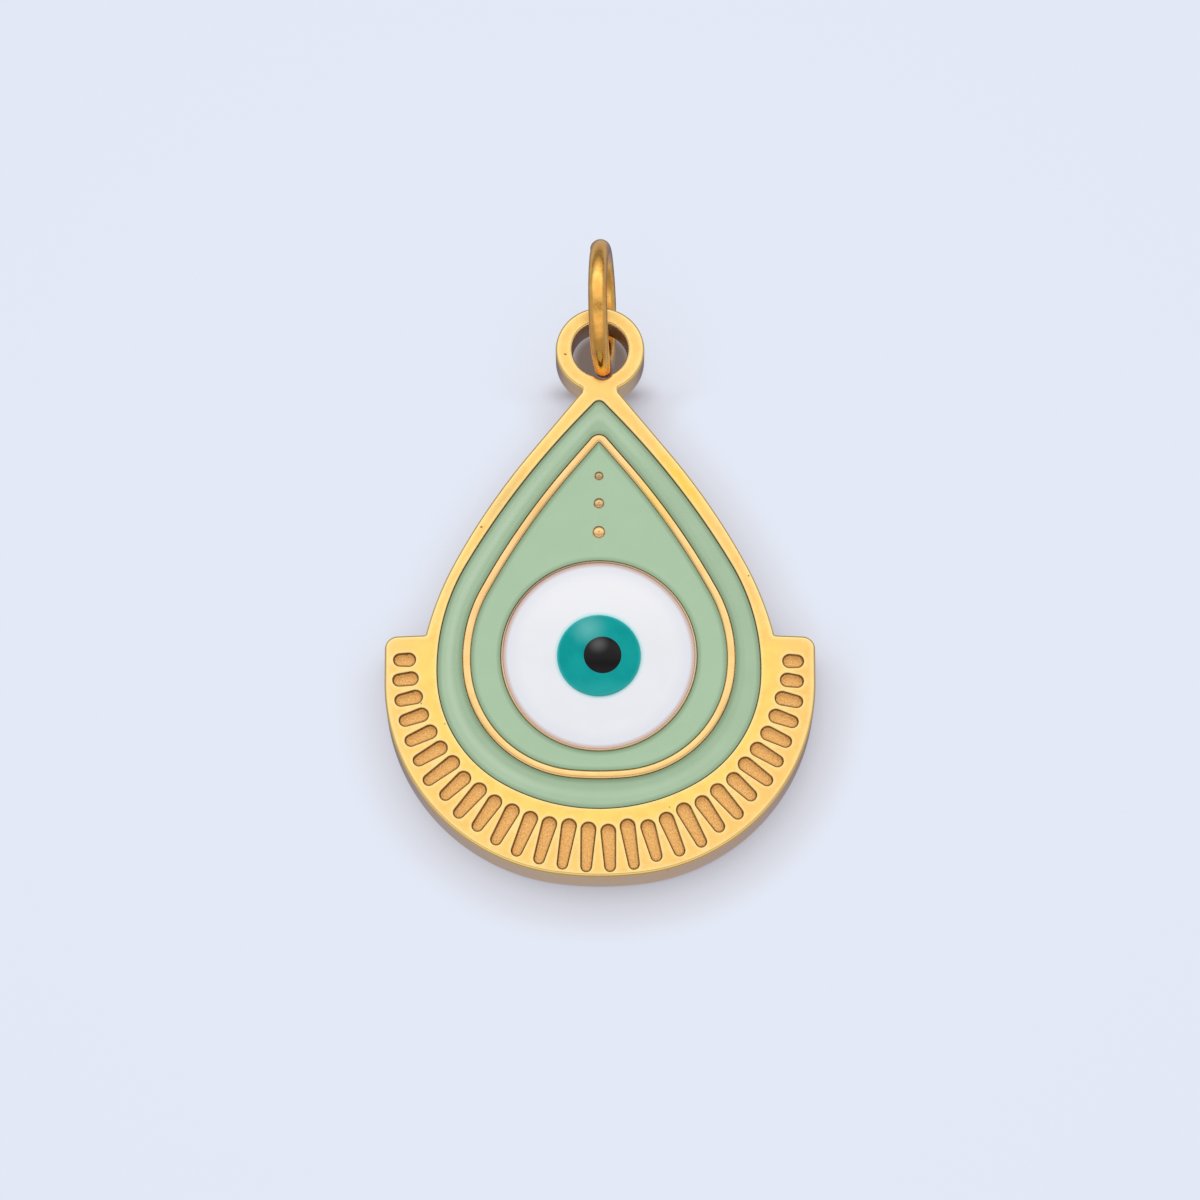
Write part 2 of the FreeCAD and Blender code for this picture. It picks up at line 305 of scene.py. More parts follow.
def inside(points, loops):
    """True for the points that lie inside an odd number of the loops."""
    starts = np.concatenate(loops)
    ends = np.concatenate([np.roll(loop, -1, 0) for loop in loops])
    odd = np.zeros(len(points), bool)
    rise = np.where(ends[:, 1] == starts[:, 1], 1, ends[:, 1] - starts[:, 1])
    slope = (ends[:, 0] - starts[:, 0]) / rise
    for first in range(0, len(points), 1000):
        x, z = points[first:first + 1000, :1], points[first:first + 1000, 1:]
        spans = (starts[:, 1] > z) != (ends[:, 1] > z)
        right = x < starts[:, 0] + slope * (z - starts[:, 1])
        odd[first:first + 1000] = (spans & right).sum(1) % 2 == 1
    return odd


def grid_inside(loops, spacing, margin):
    """Points of a triangular grid inside the loops that stay clear of their edges."""
    edge = np.concatenate(loops)
    low, high = edge.min(0), edge.max(0)
    rows = np.arange(low[1], high[1], spacing * math.sqrt(3) / 2)
    grid = np.array([(x + spacing / 2 * (k % 2), z) for k, z in enumerate(rows)
                     for x in np.arange(low[0], high[0], spacing)])
    grid = grid[inside(grid, loops)]
    keep = np.ones(len(grid), bool)
    for first in range(0, len(grid), 500):
        part = grid[first:first + 500]
        gaps = np.abs(part[:, None, :] - edge[None, :, :]).max(2)
        keep[first:first + 500] = gaps.min(1) > margin
    return grid[keep]


def rounding(edge_offset, edge_y, radius, out=1, into=1, steps=7, from_face=True):
    """Profile rows of a quarter round from a face to a wall.

    edge_offset and edge_y are the sharp corner that is rounded. out is +1 where the wall looks
    outwards and -1 where it looks inwards; into is +1 where the solid lies behind the face.
    """
    rows = []
    for turn in np.linspace(0, math.pi / 2, steps):
        offset = edge_offset - out * radius * (1 - math.sin(turn))
        y = edge_y + into * radius * (1 - math.cos(turn))
        rows.append((offset, y, out * math.sin(turn), -into * math.cos(turn)))
    return rows if from_face else rows[::-1]


def half_round(half_width, base_y, top_y, steps=15, flat=1.0):
    """Profile rows over a raised line, from its outer side to its inner side.

    flat is 1 for a half ellipse; a smaller number gives a flatter top and steeper sides.
    """
    turns = np.linspace(0, math.pi, steps)
    offset = half_width * np.sign(np.cos(turns)) * np.abs(np.cos(turns)) ** flat
    y = base_y - (base_y - top_y) * np.abs(np.sin(turns)) ** flat
    fine = np.column_stack((np.gradient(offset), np.gradient(y)))
    normals = np.column_stack((-fine[:, 1], fine[:, 0]))
    normals /= np.linalg.norm(normals, axis=1)[:, None]
    return np.column_stack((offset, y, normals)).tolist()


class Shell:
    """Vertices with normals, faces and finishes of one piece, in millimetres."""

    def __init__(self):
        self.places, self.normals, self.faces, self.finishes = [], [], [], []
        self.values = {}
        self.count = 0

    def add(self, places, normals, faces, finish=0, **values):
        """Adds vertices and faces. Each named value is one number a vertex, or one for all."""
        size = len(places)
        for name in set(values) - set(self.values):
            self.values[name] = [np.zeros(self.count)]
        for name, parts in self.values.items():
            parts.append(np.broadcast_to(np.asarray(values.get(name, 0.0), float), size))
        self.places.append(places)
        self.normals.append(normals)
        self.faces += (np.asarray(faces) + self.count).tolist()
        self.finishes += [finish] * len(faces)
        self.count += size

    def grid(self, places, normals, finish=0, wrap=True, **values):
        """Rows of vertices joined by four-sided faces; wrap joins the last column to the first."""
        rows, columns = places.shape[:2]
        index = np.arange(rows * columns).reshape(rows, columns)
        after = np.roll(index, -1, 1)
        if not wrap:
            index, after = index[:, :-1], after[:, :-1]
        faces = np.stack((index[:-1], after[:-1], after[1:], index[1:]), -1).reshape(-1, 4)
        flat = {name: np.broadcast_to(value, (rows, columns)).ravel()
                for name, value in values.items()}
        self.add(places.reshape(-1, 3), normals.reshape(-1, 3), faces, finish, **flat)

    def sweep(self, outline, rows, finish=0, normals=None, wrap=True, worn=0.0, film=0.0):
        """Carries profile rows (offset, y, normal outwards, normal along Y) along an outline."""
        sides = outward(outline) if normals is None else normals
        rows = np.array(rows)
        places = upright(outline[None] + sides[None] * rows[:, :1, None], rows[:, 1:2])
        tilts = upright(sides[None] * rows[:, 2:3, None], rows[:, 3:])
        self.grid(places, tilts, finish, wrap, worn=np.reshape(worn, (-1, 1)), film=film)

    def fill(self, loops, height, finish=0, spacing=0.0, facing=-1, edge_wear_and_highlight=0.0, **values):
        """Covers the region between loops.

        height gives depths and normals for points, and each named value gives one number a point.
        """
        edge = np.concatenate(loops)
        inner = grid_inside(loops, spacing, spacing * 0.5) if spacing else np.empty((0, 2))
        joins = []
        start = 0
        for loop in loops:
            size = len(loop)
            joins += [(start + k, start + (k + 1) % size) for k in range(size)]
            start += size
        points = [Vector(p) for p in np.concatenate((edge, inner))]
        found = delaunay_2d_cdt(points, joins, [], 0, 1e-6)
        flat = np.array([tuple(p) for p in found[0]])
        faces = np.array(found[2])
        faces = faces[inside(flat[faces].mean(1), loops)]
        depth, normals = height(flat)
        worn = np.zeros(len(flat))
        worn[:len(edge)] = edge_wear_and_highlight
        found_values = {name: rule(flat) for name, rule in values.items()}
        self.add(upright(flat, depth), normals * (1, -facing, 1), faces, finish, worn=worn,
                 **found_values)

    def piece(self, name, paints, body, stands_for, slot):
        """Makes the object, with each face turned the way its normals point."""
        places = np.concatenate(self.places)
        normals = np.concatenate(self.normals)
        normals = normals / np.linalg.norm(normals, axis=1)[:, None]
        faces = []
        for face in self.faces:
            a, b, c = places[face[0]], places[face[1]], places[face[2]]
            across = places[face[-1]] - b if len(face) == 4 else c - b
            turned = np.dot(np.cross(c - a, across), normals[face].sum(0))
            faces.append(face if turned > 0 else face[::-1])
        mesh = bpy.data.meshes.new(name)
        mesh.from_pydata((places * MM).tolist(), [], faces)
        mesh.polygons.foreach_set("use_smooth", [True] * len(faces))
        mesh.polygons.foreach_set("material_index", self.finishes)
        for value, parts in self.values.items():
            attribute = mesh.attributes.new(value, "FLOAT", "POINT")
            attribute.data.foreach_set("value", np.concatenate(parts).astype(np.float32))
        for paint in paints:
            mesh.materials.append(paint)
        mesh.update()
        mesh.normals_split_custom_set_from_vertices(normals.tolist())
        made = add_object(name, mesh)
        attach(made, body)
        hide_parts(stands_for)
        return made


def level(y):
    """Height function of a flat face at depth y, for Shell.fill."""
    def height(points):
        return np.full(len(points), y), np.tile((0.0, -1.0, 0.0), (len(points), 1))
    return height


def grid_normals(places):
    """Normals of a grid of places that closes round, on the side of -Y."""
    along = np.roll(places, -1, 1) - np.roll(places, 1, 1)
    normals = np.cross(along, np.gradient(places, axis=0))
    normals *= np.where(normals[..., 1:2] > 0, -1, 1)
    return normals / np.maximum(np.linalg.norm(normals, axis=2, keepdims=True), 1e-12)


# --- node trees ---
class Tree:
    """A node tree with short ways to add to it. Inputs take values or other nodes' outputs."""

    def __init__(self, owner):
        owner.use_nodes = True
        self.tree = owner.node_tree

    def add(self, kind, inputs=(), **settings):
        node = self.tree.nodes.new("ShaderNode" + kind)
        for key, value in settings.items():
            setattr(node, key, value)
        for key, value in dict(inputs).items():
            self.feed(node.inputs[key], value)
        return node

    def feed(self, socket, value):
        if isinstance(value, bpy.types.NodeSocket):
            self.tree.links.new(value, socket)
        else:
            socket.default_value = value

    def math(self, operation, a, b=0.0):
        return self.add("Math", {0: a, 1: b}, operation=operation).outputs[0]

    def times(self, a, b):
        return self.math("MULTIPLY", a, b)

    def step(self, value, low, high, start=0.0, end=1.0, way="LINEAR"):
        """Even change from start to end as value goes from low to high."""
        node = self.add("MapRange", {"Value": value, "From Min": low, "From Max": high,
                                     "To Min": start, "To Max": end}, interpolation_type=way)
        return node.outputs["Result"]

    def ease(self, value, low, high, start=0.0, end=1.0):
        """The same change, slower at both ends."""
        return self.step(value, low, high, start, end, "SMOOTHSTEP")

    def mix(self, factor, a, b):
        return self.add("Mix", {0: factor, 6: a, 7: b}, data_type="RGBA").outputs[2]

    def ramp(self, value, *stops):
        """Colour ramp; a stop is (place, colour or grey)."""
        node = self.add("ValToRGB", {"Fac": value})
        node.color_ramp.interpolation = "EASE"
        elements = node.color_ramp.elements
        while len(elements) < len(stops):
            elements.new(1.0)
        for element, (place, colour) in zip(elements, stops):
            element.position = place
            parts = colour if isinstance(colour, tuple) else (colour, colour, colour)
            element.color = (*parts, 1)
        return node.outputs["Color"]

    def noise(self, scale, detail, roughness=0.5):
        node = self.add("TexNoise", {"Vector": self.where, "Scale": scale, "Detail": detail,
                                     "Roughness": roughness})
        return node.outputs["Fac"]

    def value(self, name):
        """A number that the mesh keeps for each vertex."""
        return self.add("Attribute", attribute_name=name).outputs["Fac"]

    def use_object_mm(self):
        """Sets where, the place on the object in millimetres."""
        place = self.add("TexCoord").outputs["Object"]
        node = self.add("VectorMath", {0: place, "Scale": 1 / MM}, operation="SCALE")
        self.where = node.outputs[0]

    def parts(self, vector):
        split = self.add("SeparateXYZ", {0: vector})
        return split.outputs[0], split.outputs[1], split.outputs[2]

    def distance(self, x, z):
        """Distance from the point (x, z), along the face."""
        flat = self.add("VectorMath", {0: self.where, 1: (1, 0, 1)}, operation="MULTIPLY")
        node = self.add("VectorMath", {0: flat.outputs[0], 1: (x, 0, z)}, operation="DISTANCE")
        return node.outputs["Value"]

    def specks(self, scale, radius, strength):
        """Small specks, far apart, with a given strength in their middle."""
        cells = self.add("TexVoronoi", {"Vector": self.where, "Scale": scale})
        return self.ease(cells.outputs["Distance"], 0.014, radius, strength, 0.0)


class Paint(Tree):
    """A Principled material whose colour is laid on in coats. Sockets have _ for a space."""

    def __init__(self, name, colour=None, **values):
        self.material = bpy.data.materials.new(name)
        super().__init__(self.material)
        self.use_object_mm()
        self.shader = self.tree.nodes["Principled BSDF"]
        self.colour = colour and (*colour, 1)
        self.feed_shader(values)

    def feed_shader(self, values):
        for key, value in values.items():
            self.feed(self.shader.inputs[key.replace("_", " ")], value)

    def coat(self, amount, colour):
        """Covers the colour so far by an amount from 0 to 1."""
        self.colour = self.mix(amount, self.colour, (*colour, 1))

    def finished(self, **values):
        self.feed_shader({"Base_Color": self.colour, **values})
        return self.material

    def bump(self, *layers):
        """Bump from (height output, size in mm) layers, one on top of the other."""
        normal = None
        for height, size in layers:
            inputs = {"Height": height, "Distance": size * MM, "Strength": 1.0}
            if normal is not None:
                inputs["Normal"] = normal
            normal = self.add("Bump", inputs).outputs[0]
        return normal


# --- materials ---
# Painted reflections on the polished face: x, z, strength, colour
REFLECTION_PATCHES = ((3.4, 7.6, 0.75, (1.0, 0.66, 0.09)), (-3.6, 6.8, 0.50, (0.76, 0.51, 0.19)))
PATCH_CORE, PATCH_RADIUS = 0.3, 2.3
FILM = (0.30, 0.29, 0.17)                   # enamel left on the dots
ENAMEL_GLOSS = {"Roughness": 0.18, "Specular_IOR_Level": 0.4}
DARK_GREEN = (0.17, 0.27, 0.15)


def polished_gold(name, pale, orange, yellow, roughness):
    """Gold plating polished by hand: soft waves, fine grain, a few pits, and paler edges that are
    partly wear and partly painted highlight.

    It goes from pale to orange towards the right; in rose_gold this change is a painted highlight
    on the right side. Round the enamel's lower half the front face gets a painted yellow
    reflection, and higher up two painted reflection patches. A film of enamel lies on the dots.
    """
    paint = Paint(name, pale, Metallic=1.0)
    x, y, z = paint.parts(paint.where)
    broad = paint.noise(0.35, 2.0)
    shifted = paint.math("ADD", x, paint.times(broad, 3.0))
    # left to right colour change; in rose_gold it is a painted highlight on the right side
    paint.coat(paint.ease(shifted, -3.0, 7.5), orange)
    # painted reflection: yellow on the front face round the enamel's lower half
    by_cell = paint.ease(paint.distance(PATTERN_X, 0), 7.1, 8.5, 1.0, 0.0)
    front = paint.ease(y, -1.6, -1.0, 1.0, 0.0)
    low = paint.times(front, paint.ease(z, -1.0, 3.0, 1.0, 0.0))
    paint.coat(paint.times(by_cell, low), yellow)
    cloud = paint.noise(1.6, 3.0)
    paint.coat(paint.ease(cloud, 0.35, 0.75, 0.0, 0.22), (1.0, 0.50, 0.12))
    # painted reflection patches on the front face
    for patch_x, patch_z, strength, tint in REFLECTION_PATCHES:
        away = paint.distance(patch_x, patch_z)
        patch = paint.ease(away, PATCH_CORE, PATCH_RADIUS, strength, 0.0)
        paint.coat(paint.times(front, patch), tint)
    # paler edges: partly wear, partly a painted highlight along the rounded edges
    paint.coat(paint.times(paint.value("worn"), 0.55), (1.0, 0.82, 0.40))
    paint.coat(paint.value("film"), FILM)
    pits = paint.ease(paint.noise(3.1, 1.0), 0.79, 0.83)
    paint.coat(pits, (0.30, 0.15, 0.03))
    shine = paint.ease(cloud, 0.3, 0.8, roughness - 0.04, roughness + 0.08)
    waves = paint.noise(0.8, 1.0)
    grain = paint.noise(14.0, 3.0)
    normal = paint.bump((waves, 0.020), (grain, 0.0010), (pits, -0.02))
    return paint.finished(Roughness=shine, Normal=normal)


def dark_metal(name, colour, metallic):
    """Dull dark metal with a darker grain. In the cell's gap, the slots' walls and the loop's hole
    it is painted shade; on the ring it is the cut ends' own colour.
    """
    paint = Paint(name, colour, Metallic=metallic, Roughness=0.45)
    grain = paint.noise(6.0, 2.0)
    paint.coat(grain, [0.6 * part for part in colour])
    return paint.finished()


def sandblasted_bronze():
    """Matt floors of the slots: rough grain with bright grains in it, and painted shade along the
    walls.
    """
    paint = Paint("sandblasted_bronze", Metallic=0.9)
    grain = paint.noise(9.0, 4.0, 0.65)
    speckle = paint.noise(16.0, 3.0, 0.6)
    paint.colour = paint.ramp(speckle, (0.34, (0.80, 0.39, 0.105)), (0.50, (1.0, 0.55, 0.18)),
                              (0.70, (1.0, 0.78, 0.36)))
    # painted shade: darker near the slot's walls
    paint.coat(paint.ease(paint.value("wall"), 0.0, 0.10, 1.0, 0.0), (0.26, 0.115, 0.02))
    normal = paint.bump((grain, 0.010), (speckle, 0.006))
    return paint.finished(Roughness=0.5, Normal=normal)


def green_enamel(name, body_colour, pale_colour, painted_highlight=0.0):
    """Cold enamel: glossy, mottled, with painted shade at its walls and a few specks in it. A
    painted highlight is a pale band along the middle, with painted shade by the inner wall."""
    paint = Paint(name, body_colour, **ENAMEL_GLOSS)
    x, _, z = paint.parts(paint.where)
    mottle = paint.noise(0.9, 3.0)
    paint.coat(paint.ease(mottle, 0.3, 0.7, 0.0, 0.35), pale_colour)
    if painted_highlight:
        # painted highlight along the band's middle and painted shade by the inner wall, stronger
        # where light falls
        across = paint.value("across")
        highlight_band = paint.ramp(across, (0.0, 0.0), (0.30, 0.0), (0.56, 1.0), (0.74, 0.35), (1.0, 0.0))
        shade = paint.ramp(across, (0.0, 1.0), (0.30, 0.35), (0.45, 0.0), (1.0, 0.0))
        left = paint.ease(x, 1.0, -4.0)
        lit = paint.math("MAXIMUM", left, paint.ease(z, -1.0, -6.0, 0.0, 0.6))
        lit = paint.math("MAXIMUM", lit, paint.ease(z, 7.0, 10.0, 0.0, 0.9))
        highlight_band = paint.times(highlight_band, paint.times(lit, painted_highlight))
        paint.coat(paint.times(shade, 0.30), DARK_GREEN)
        paint.coat(highlight_band, (0.56, 0.71, 0.54))
    # painted shade: darker green close to the walls
    edge_shade = paint.ramp(paint.value("edge"), (0.0, 1.0), (0.06, 0.55), (0.22, 0.0))
    paint.coat(paint.times(edge_shade, 0.8), DARK_GREEN)
    paint.coat(paint.specks(0.42, 0.028, 0.75), (0.10, 0.12, 0.09))
    normal = paint.bump((paint.noise(0.7, 1.0), 0.012), (paint.noise(30.0, 1.0), 0.0003))
    return paint.finished(Normal=normal)


def white_enamel():
    """White of the eye: painted light at the top, painted shade, darker and cooler, towards its
    wall, a painted rosy reflection of the gold right by the wall, teal by the iris.
    """
    paint = Paint("white_enamel", (0.85, 0.882, 0.945), **ENAMEL_GLOSS)
    mottle = paint.noise(0.6, 3.0)
    paint.coat(paint.ease(mottle, 0.3, 0.7), (0.825, 0.86, 0.915))
    # painted light: brighter towards the top
    top_light = paint.ease(paint.parts(paint.where)[2], -0.5, 3.5, 0.0, 0.9)
    paint.coat(top_light, (0.915, 0.935, 0.985))
    edge = paint.value("edge")
    # painted shade: darker and bluer towards the wall
    paint.coat(paint.ease(edge, 0.0, 0.9, 0.55, 0.0), (0.72, 0.76, 0.87))
    # painted reflection of the gold wall in the enamel's edge
    paint.coat(paint.ease(edge, 0.03, 0.22, 0.85, 0.0), (0.62, 0.44, 0.38))
    from_eye = paint.distance(PATTERN_X, 0)
    halo = paint.ease(from_eye, IRIS_RADIUS - 0.02, IRIS_RADIUS + 0.20, 0.65, 0.0)
    paint.coat(halo, (0.35, 0.80, 0.84))
    paint.coat(paint.specks(0.5, 0.030, 0.6), (0.30, 0.32, 0.34))
    normal = paint.bump((paint.noise(0.5, 1.0), 0.010), (paint.noise(30.0, 1.0), 0.0003))
    return paint.finished(Normal=normal)


def teal_enamel():
    """The iris: deep teal, with a painted reflection at the upper left and a painted highlight low
    down, paler at its rim.
    """
    paint = Paint("teal_enamel", (0.002, 0.315, 0.315), Roughness=0.20, Specular_IOR_Level=0.05)
    mottle = paint.noise(1.2, 3.0)
    paint.coat(paint.ease(mottle, 0.3, 0.7), (0.006, 0.36, 0.355))
    # painted reflection at the upper left
    painted_reflection = paint.ease(paint.distance(-0.50, 1.18), 0.0, 0.95, 0.50, 0.0)
    paint.coat(painted_reflection, (0.20, 0.62, 0.60))
    # painted highlight low down
    low = paint.ease(paint.parts(paint.where)[2], -0.9, -1.6, 0.0, 0.3)
    paint.coat(low, (0.05, 0.46, 0.45))
    from_eye = paint.distance(PATTERN_X, 0)
    rim = paint.ease(from_eye, IRIS_RADIUS - 0.12, IRIS_RADIUS, 0.0, 0.6)
    paint.coat(rim, (0.07, 0.58, 0.58))
    return paint.finished(Normal=paint.bump((paint.noise(1.1, 1.0), 0.008)))


def black_enamel():
    """The pupil: black, with a soft grey painted glint near its top."""
    paint = Paint("black_enamel", (0.004, 0.004, 0.005), Roughness=0.27, Specular_IOR_Level=0.18)
    paint.coat(paint.noise(2.5, 3.0), (0.009, 0.008, 0.010))
    # painted glint near the top
    from_glint = paint.distance(PATTERN_X + PUPIL_X - 0.18, 0.46)
    paint.coat(paint.ease(from_glint, 0.0, 0.55, 0.75, 0.0), (0.11, 0.11, 0.11))
    return paint.finished(Normal=paint.bump((paint.noise(1.5, 1.0), 0.006)))


def ring_gold():
    """Drawn wire with darker plating: soft dents, fine grain and browned patches."""
    paint = Paint("ring_gold", Metallic=1.0, Coat_Weight=0.5, Coat_Roughness=0.3)
    patches = paint.noise(1.1, 3.0, 0.6)
    paint.colour = paint.ramp(patches, (0.32, (0.78, 0.38, 0.07)), (0.50, (0.98, 0.50, 0.10)),
                              (0.70, (1.0, 0.63, 0.15)))
    fine = paint.noise(12.0, 3.0)
    shine = paint.ease(fine, 0.3, 0.7, 0.15, 0.27)
    normal = paint.bump((paint.noise(1.4, 2.0), 0.030), (fine, 0.0015))
    return paint.finished(Roughness=shine, Normal=normal)


# --- pieces of the charm ---
def casting(gold, seam_shade, shade):
    """Rim, fan and loop: face, walls, slots' walls, the loop's hole and the back."""
    shell = Shell()
    rim = teardrop_right(*RIM)
    side, root, rest = joined(fan_right(), rim, FAN_ROOT)
    body_right = np.concatenate((side, root, rest))
    lower, neck, loop = joined(body_right, loop_right(), NECK_CORNER)
    over = np.concatenate((lower[-1:], neck, loop))
    lower = resampled(lower)
    over = resampled(over)
    tip = resampled(body_right[np.linalg.norm(body_right - lower[-1], axis=1).argmin():])
    front = mirrored(np.concatenate((lower, over[1:])))
    back = mirrored(np.concatenate((lower, tip[1:])))
    front_normals, back_normals = outward(front), outward(back)
    turn = len(lower)

    # face edge and the front part of the wall
    edge = rounding(0, FACE_Y, FRONT_EDGE, steps=9)
    shell.sweep(front, edge, normals=front_normals, worn=np.linspace(1, 0, len(edge)))
    shell.sweep(front, [(0, FACE_Y + FRONT_EDGE, 1, 0), (0, WALL_Y, 1, 0)], normals=front_normals)
    # the wall's back part: round the body, round the loop, and round the tip behind the loop
    low = np.r_[len(front) - turn + 1:len(front), 0:turn]
    round_back = [(0, WALL_Y, 1, 0)] + rounding(0, 0, BACK_EDGE, into=-1, from_face=False)
    shell.sweep(front[low], round_back, normals=front_normals[low], wrap=False)
    high = np.r_[turn - 1:len(front) - turn + 2]
    loop_edge = rounding(0, LOOP_BACK_Y, LOOP_BACK_EDGE, into=-1, from_face=False)
    shell.sweep(front[high], round_back[:1] + loop_edge, normals=front_normals[high], wrap=False)
    behind = np.r_[turn - 1:len(back) - turn + 2]
    shell.sweep(back[behind], [(0, LOOP_BACK_Y - 0.1, 1, 0)] + round_back[1:],
                normals=back_normals[behind], wrap=False)

    # face with its openings
    cell = mirrored(resampled(teardrop_right(*CELL)), PATTERN_X)
    hole = hole_outline()
    slots = [Slot(*numbered) for numbered in enumerate(SLOT_LENGTHS)]
    slot_lines = [slot.outline() for slot in slots]
    openings = [cell + outward(cell) * CELL_EDGE, hole + outward(hole) * HOLE_EDGE]
    openings += [line + outward(line) * SLOT_EDGE for line in slot_lines]
    face = front - front_normals * FRONT_EDGE
    shell.fill([face] + openings, level(FACE_Y), spacing=FACE_SPACING, edge_wear_and_highlight=1.0)

    # enamel cell: rounded lip, then its wall and the floor of the gap painted dark as shade
    lip = rounding(0, FACE_Y, CELL_EDGE, out=-1)
    shell.sweep(cell, lip[:4], worn=1.0)
    shell.sweep(cell, lip[3:] + [(0, GROOVE_Y, -1, 0)], finish=1)
    shell.sweep(cell, [(0, GROOVE_Y, 0, -1), (-0.4, GROOVE_Y, 0, -1)], finish=1)

    # slots' lips, and their walls painted dark as shade
    lip = rounding(0, FACE_Y, SLOT_EDGE, out=-1)
    floor_top = FACE_Y + SLOT_DEPTH - SLOT_FLOOR_RADIUS
    for line in slot_lines:
        shell.sweep(line, lip[:4], worn=1.0)
        shell.sweep(line, lip[3:] + [(0, floor_top, -1, 0)], finish=1)

    # the loop's hole, its inner wall painted dark as shade
    lip = rounding(0, FACE_Y, HOLE_EDGE, out=-1)
    shell.sweep(hole, lip, worn=np.linspace(1, 0, len(lip)))
    tail = rounding(0, LOOP_BACK_Y, LOOP_BACK_EDGE, out=-1, into=-1, from_face=False)
    shell.sweep(hole, lip[-1:] + tail, finish=2)

    # flat back, and the loop's back
    shell.fill([back - back_normals * BACK_EDGE], level(0.0), spacing=BACK_SPACING, facing=1)
    loop_outline = (front - front_normals * LOOP_BACK_EDGE)[high]
    shell.fill([loop_outline, hole + outward(hole) * LOOP_BACK_EDGE], level(LOOP_BACK_Y),
               facing=1)
    shell.piece("casting", [gold, seam_shade, shade], "charm", "charm_body", "gold_casting")
    return slots, cell


def slot_floors(slots, bronze):
    """Sandblasted floors of all slots, rounded up to their walls."""
    shell = Shell()
    small = 0.004              # step that slopes are measured over
    wall_shift = 0.05          # the painted shade line is wider on the slots' lower sides
    coarse_rise, fine_rise, rough_from = 0.007, 0.005, 0.08

    def height(points, slot):
        inward = np.clip(slot.depth_inside(points), 0, None)
        short = np.clip(SLOT_FLOOR_RADIUS - inward, 0, SLOT_FLOOR_RADIUS)
        bowl = SLOT_DEPTH - SLOT_FLOOR_RADIUS + np.sqrt(SLOT_FLOOR_RADIUS ** 2 - short ** 2)
        coarse = [noise.noise(Vector((x * 6, 3.0, z * 6))) for x, z in points]
        fine = [noise.noise(Vector((x * 15, 7.0, z * 15))) for x, z in points]
        rough = coarse_rise * np.array(coarse) + fine_rise * np.array(fine)
        return FACE_Y + bowl + rough * np.clip(inward / rough_from, 0, 1)

    for slot in slots:
        def surface(points):
            here = height(points, slot)
            slope_x = (height(points + (small, 0), slot) - here) / small
            slope_z = (height(points + (0, small), slot) - here) / small
            return here, upright(np.column_stack((slope_x, slope_z)), -1.0)

        def wall(points):
            return slot.depth_inside(points - (0, wall_shift))

        shell.fill([slot.outline()], surface, spacing=SLOT_FLOOR_SPACING, wall=wall)
    shell.piece("slot_floors", [bronze], "charm", "charm_body", "gold_casting")


def raised_lines(line_gold, wall_gold, ridge):
    """The ridge between the green fields, the thin wall round the eye, and the dots."""
    shell = Shell()
    shell.sweep(ridge, half_round(RIDGE_HALF, *RIDGE_Y, 19, flat=0.72))
    shell.sweep(circle(EYE_RADIUS, PATTERN_X), half_round(EYE_WALL, *EYE_WALL_Y), finish=1)
    core = 0.02                # small circle that a dot's profile is carried round
    for height, diameter, film in DOTS:
        middle = circle(core, PATTERN_X, height, 32)
        radius = diameter / 2 - core
        rows = [row for row in half_round(radius, *DOT_Y) if row[0] > -1e-9]
        shell.sweep(middle, rows, film=film)
        skirt = [(radius + DOT_SKIRT_WIDTH, ENAMEL_Y + DOT_SKIRT_RISE, 0.5, -0.8),
                 (radius, ENAMEL_Y - DOT_SKIRT_RISE, 0.5, -0.8)]
        shell.sweep(middle, skirt, finish=1)
    shell.piece("raised_lines", [line_gold, wall_gold], "charm", "charm_body", "gold_casting")


def dished(edge, climb, sink, width):
    """Depth of enamel at a distance from its wall: it climbs there and sinks away from it."""
    return ENAMEL_Y - climb + sink * (1 - np.exp(-edge / width))


